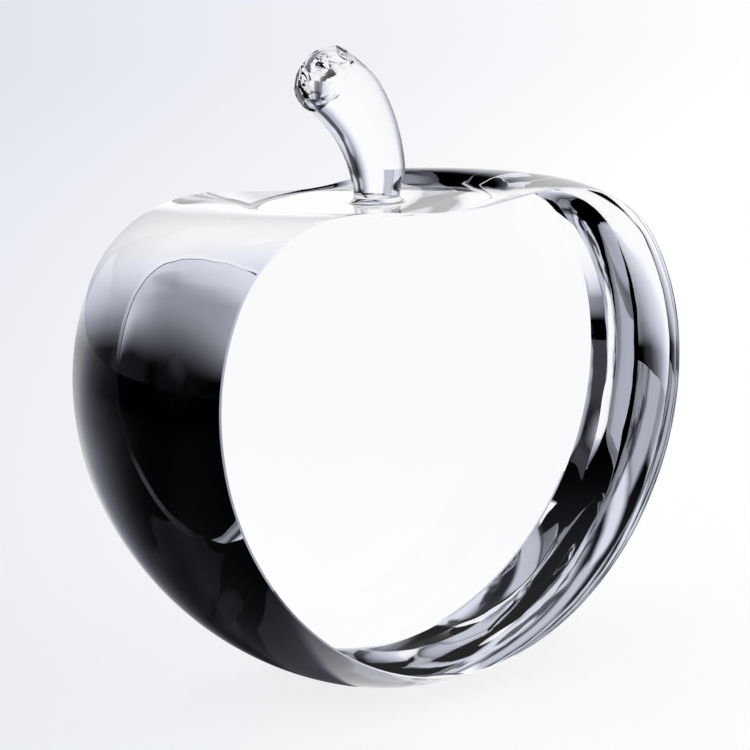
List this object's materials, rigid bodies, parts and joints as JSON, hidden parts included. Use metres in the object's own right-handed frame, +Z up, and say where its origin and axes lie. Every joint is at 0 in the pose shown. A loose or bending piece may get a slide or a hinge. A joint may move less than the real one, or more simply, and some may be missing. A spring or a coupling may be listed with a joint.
{
  "type": "glass apple paperweight",
  "caption": "Solid clear crystal apple cut to a flat-faced slice with bevelled edges, a shallow dimple and a bonded bent glass stem with a hammered end.",
  "frame": {"origin": "middle of the bottom of the object's box, which is the centre of the round base flat that the apple stands on", "axes": "+Z up along the apple's axis, -Y out of the front face, +X to the right as seen from the front; the stem leans towards -X"},
  "size_m": [0.09, 0.037, 0.0926],
  "materials": {
    "crystal": "polished optical crystal, clear with a faint cool tint",
    "stem_glass": "fire-polished clear glass rod with a hammered, chipped end",
    "adhesive": "clear cured adhesive with a smooth fillet"
  },
  "bodies": {
    "root": {"crystal_body": "crystal", "adhesive_bond": "adhesive", "glass_stem": "stem_glass"}
  },
  "joints": []
}
